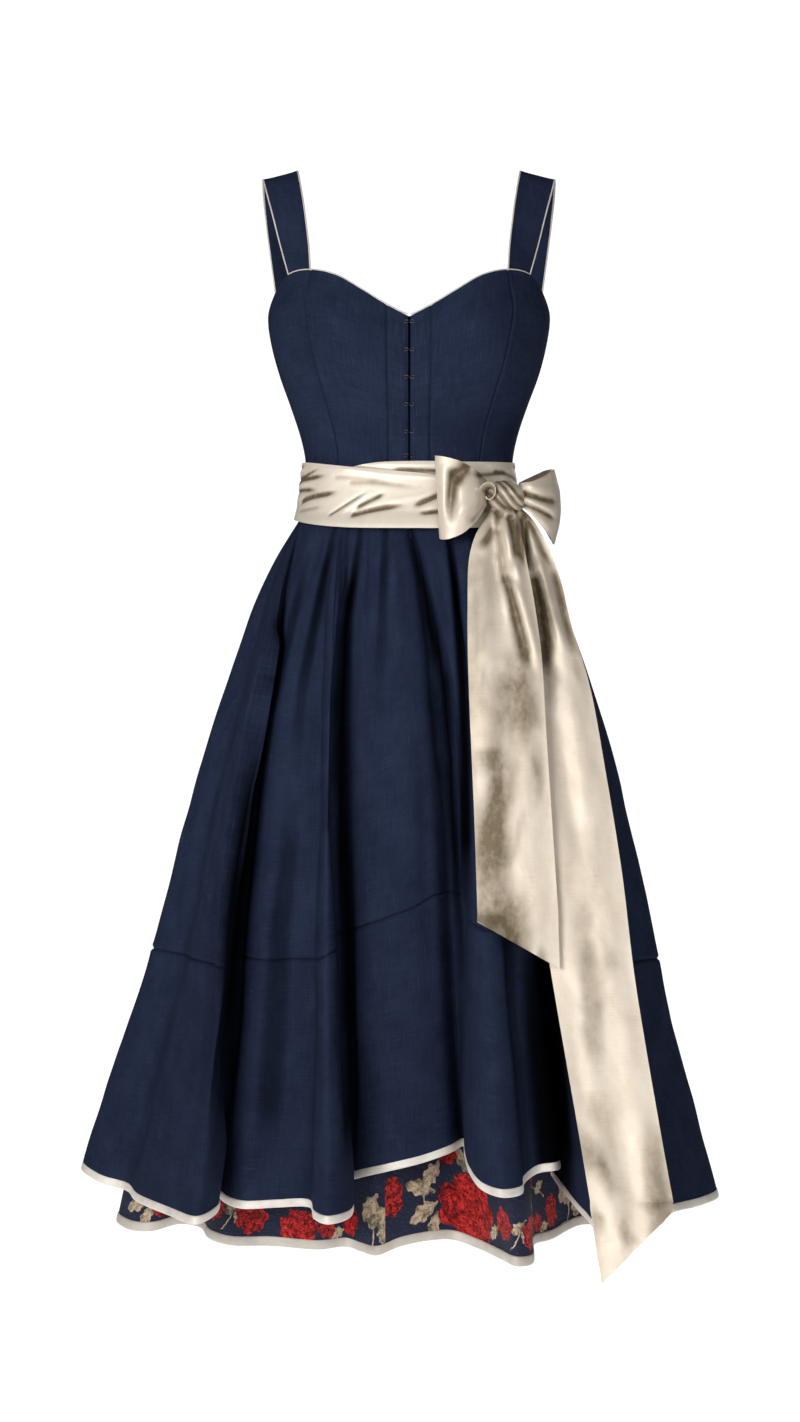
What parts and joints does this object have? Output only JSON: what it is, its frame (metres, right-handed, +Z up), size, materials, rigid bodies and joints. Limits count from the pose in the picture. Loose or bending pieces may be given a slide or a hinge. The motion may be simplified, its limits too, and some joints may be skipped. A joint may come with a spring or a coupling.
{
  "type": "dirndl dress",
  "caption": "Sleeveless folk dress, hollow as worn: hooked sweetheart bodice on piped straps, flared overskirt with flounce, longer brocade underskirt, silk sash tied in a bow with long tails.",
  "frame": {"origin": "midway between the tops of the two shoulder straps, where the wearer holds the dress up", "axes": "+Z up, +X towards the viewer's right, the front faces -Y"},
  "size_m": [0.7318, 0.5897, 1.2263],
  "materials": {
    "navy_linen": "matt plain-woven linen",
    "rose_brocade": "jacquard with raised roses and leaves",
    "cream_satin": "satin",
    "champagne_silk": "lustrous taffeta",
    "steel": "bright wire"
  },
  "bodies": {
    "root": {"bodice_band_left": "navy_linen", "bodice_band_right": "navy_linen", "bodice_front_left": "navy_linen", "bodice_front_right": "navy_linen", "bodice_side_left": "navy_linen", "bodice_side_right": "navy_linen", "bodice_back_right": "navy_linen", "bodice_back_centre": "navy_linen", "bodice_back_left": "navy_linen", "top_piping_left": "cream_satin", "top_piping_right": "cream_satin", "top_piping_back": "cream_satin", "strap_left": "navy_linen", "strap_piping_left_inner": "cream_satin", "strap_piping_left_outer": "cream_satin", "strap_right": "navy_linen", "strap_piping_right_inner": "cream_satin", "strap_piping_right_outer": "cream_satin", "hook_1": "steel", "eye_1": "steel", "hook_2": "steel", "eye_2": "steel", "hook_3": "steel", "eye_3": "steel", "hook_4": "steel", "eye_4": "steel", "hook_5": "steel", "eye_5": "steel", "hook_6": "steel", "eye_6": "steel", "overskirt_gore_1": "navy_linen", "overskirt_gore_2": "navy_linen", "overskirt_gore_3": "navy_linen", "overskirt_gore_4": "navy_linen", "overskirt_gore_5": "navy_linen", "overskirt_gore_6": "navy_linen", "flounce_1": "navy_linen", "flounce_2": "navy_linen", "flounce_3": "navy_linen", "flounce_4": "navy_linen", "flounce_5": "navy_linen", "flounce_6": "navy_linen", "overskirt_binding": "cream_satin", "underskirt_gore_1": "rose_brocade", "underskirt_gore_2": "rose_brocade", "underskirt_gore_3": "rose_brocade", "underskirt_gore_4": "rose_brocade", "underskirt_gore_5": "rose_brocade", "underskirt_binding": "cream_satin", "sash_front": "champagne_silk", "sash_crossing": "champagne_silk", "sash_back": "champagne_silk", "bow_loop_left": "champagne_silk", "bow_loop_right": "champagne_silk", "bow_knot": "champagne_silk", "bow_tail_short": "champagne_silk", "bow_tail_long": "champagne_silk"}
  },
  "joints": []
}
